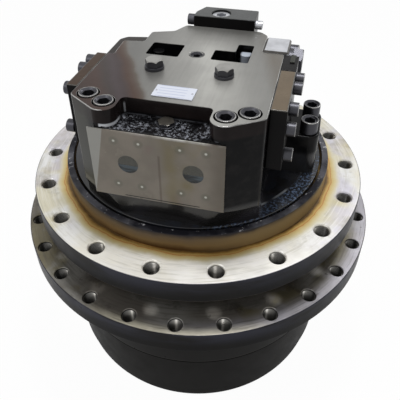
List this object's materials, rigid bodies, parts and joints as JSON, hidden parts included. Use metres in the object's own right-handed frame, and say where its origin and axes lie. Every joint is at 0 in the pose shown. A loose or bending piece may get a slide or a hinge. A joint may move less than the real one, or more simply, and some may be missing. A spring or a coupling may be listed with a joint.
{
  "type": "excavator final drive",
  "caption": "Hydraulic travel motor on a planetary gearbox: a fixed frame flange with a valve head on top, over a rotating sprocket flange and gearbox drum.",
  "frame": {"origin": "on the drive axis at the bottom of the gearbox cover, which the drive stands on", "axes": "+Z along the drive axis towards the valve head, -Y towards the side with the hose ports, +X towards the side with the relief valve"},
  "size_m": [0.5654, 0.5654, 0.5461],
  "materials": {
    "pale_steel": "bare turned steel, lightly oiled, pale cream",
    "black_paint": "glossy black paint over a casting, machined faces bare",
    "charcoal_metal": "dark satin machined casting",
    "machined_steel": "bright machined steel",
    "gear_steel": "ground hardened steel",
    "black_oxide": "black oxide steel, satin",
    "bronze": "bearing bronze",
    "friction": "matt brown friction lining",
    "film": "half clear protective film with a pale border"
  },
  "bodies": {
    "spindle": {"frame_spindle": "pale_steel", "head_block": "black_paint", "side_cover_right": "black_paint", "side_cover_left": "black_paint", "rear_valve_block": "black_paint", "relief_valve_body": "machined_steel", "relief_cartridge": "black_oxide", "rear_block_plug": "machined_steel", "rear_end_plug_left": "black_oxide", "rear_end_plug_right": "machined_steel", "hex_plug_left": "black_oxide", "hex_plug_right": "black_oxide", "hex_plug_front": "black_oxide", "socket_plug": "black_oxide", "head_screw_1": "black_oxide", "head_screw_2": "black_oxide", "head_screw_3": "black_oxide", "head_screw_4": "black_oxide", "lug_screw_1": "black_oxide", "lug_screw_2": "black_oxide", "port_film": "film", "bearing_inner_lower": "gear_steel", "bearing_inner_upper": "gear_steel", "bearing_nut": "gear_steel", "seal_ring_fixed": "machined_steel", "carrier_2": "gear_steel", "shaft_bearing_lower": "gear_steel", "shaft_bearing_upper": "gear_steel", "swash_plate": "machined_steel", "valve_plate": "bronze", "brake_plate": "gear_steel"},
    "hub": {"hub_housing": "charcoal_metal", "ring_gear": "charcoal_metal", "end_cover": "charcoal_metal", "level_plug_1": "black_oxide", "level_plug_2": "black_oxide", "level_plug_3": "black_oxide", "thrust_pad": "bronze", "bearing_outer_lower": "gear_steel", "bearing_outer_upper": "gear_steel", "seal_ring_turning": "machined_steel"},
    "motor": {"motor_shaft": "machined_steel", "cylinder_block": "gear_steel", "piston_set": "gear_steel", "friction_disc_1": "friction", "friction_disc_2": "friction", "sun_gear_1": "gear_steel"},
    "first_carrier": {"carrier_1": "gear_steel", "sun_gear_2": "gear_steel"},
    "first_planet_1": {"planet_1_1": "gear_steel"},
    "first_planet_2": {"planet_1_2": "gear_steel"},
    "first_planet_3": {"planet_1_3": "gear_steel"},
    "second_planet_1": {"planet_2_1": "gear_steel"},
    "second_planet_2": {"planet_2_2": "gear_steel"},
    "second_planet_3": {"planet_2_3": "gear_steel"},
    "second_planet_4": {"planet_2_4": "gear_steel"},
    "brake_release": {"brake_piston": "machined_steel"},
    "spool": {"counterbalance_spool": "machined_steel"}
  },
  "joints": [
    {"name": "hub_rotation", "type": "hinge", "parent": "spindle", "child": "hub", "pos_m": [0, 0, 0.2], "axis": [0, 0, 1], "continuous": true},
    {"name": "motor_rotation", "type": "hinge", "parent": "spindle", "child": "motor", "pos_m": [0, 0, 0.2], "axis": [0, 0, 1], "continuous": true},
    {"name": "first_carrier_rotation", "type": "hinge", "parent": "spindle", "child": "first_carrier", "pos_m": [0, 0, 0.065], "axis": [0, 0, 1], "continuous": true},
    {"name": "first_planet_rotation_1", "type": "hinge", "parent": "first_carrier", "child": "first_planet_1", "pos_m": [0.108, 0, 0.048], "axis": [0, 0, 1], "continuous": true},
    {"name": "first_planet_rotation_2", "type": "hinge", "parent": "first_carrier", "child": "first_planet_2", "pos_m": [-0.054, 0.09353, 0.048], "axis": [0, 0, 1], "continuous": true},
    {"name": "first_planet_rotation_3", "type": "hinge", "parent": "first_carrier", "child": "first_planet_3", "pos_m": [-0.054, -0.09353, 0.048], "axis": [0, 0, 1], "continuous": true},
    {"name": "second_planet_rotation_1", "type": "hinge", "parent": "spindle", "child": "second_planet_1", "pos_m": [0.114, 0, 0.0914], "axis": [0, 0, 1], "continuous": true},
    {"name": "second_planet_rotation_2", "type": "hinge", "parent": "spindle", "child": "second_planet_2", "pos_m": [0, 0.114, 0.0914], "axis": [0, 0, 1], "continuous": true},
    {"name": "second_planet_rotation_3", "type": "hinge", "parent": "spindle", "child": "second_planet_3", "pos_m": [-0.114, 0, 0.0914], "axis": [0, 0, 1], "continuous": true},
    {"name": "second_planet_rotation_4", "type": "hinge", "parent": "spindle", "child": "second_planet_4", "pos_m": [0, -0.114, 0.0914], "axis": [0, 0, 1], "continuous": true},
    {"name": "brake_release_travel", "type": "slide", "parent": "spindle", "child": "brake_release", "axis": [0, 0, 1], "range_m": [0, 0.0025]},
    {"name": "spool_travel", "type": "slide", "parent": "spindle", "child": "spool", "axis": [1, 0, 0], "range_m": [-0.008, 0.008]}
  ],
  "couplings": [
    {"joint": "motor_rotation", "follows": "hub_rotation", "ratio": -27.5},
    {"joint": "first_carrier_rotation", "follows": "hub_rotation", "ratio": -3.75},
    {"joint": "first_planet_rotation_1", "follows": "hub_rotation", "ratio": 11.875},
    {"joint": "first_planet_rotation_2", "follows": "hub_rotation", "ratio": 11.875},
    {"joint": "first_planet_rotation_3", "follows": "hub_rotation", "ratio": 11.875},
    {"joint": "second_planet_rotation_1", "follows": "hub_rotation", "ratio": 2.7273},
    {"joint": "second_planet_rotation_2", "follows": "hub_rotation", "ratio": 2.7273},
    {"joint": "second_planet_rotation_3", "follows": "hub_rotation", "ratio": 2.7273},
    {"joint": "second_planet_rotation_4", "follows": "hub_rotation", "ratio": 2.7273}
  ]
}
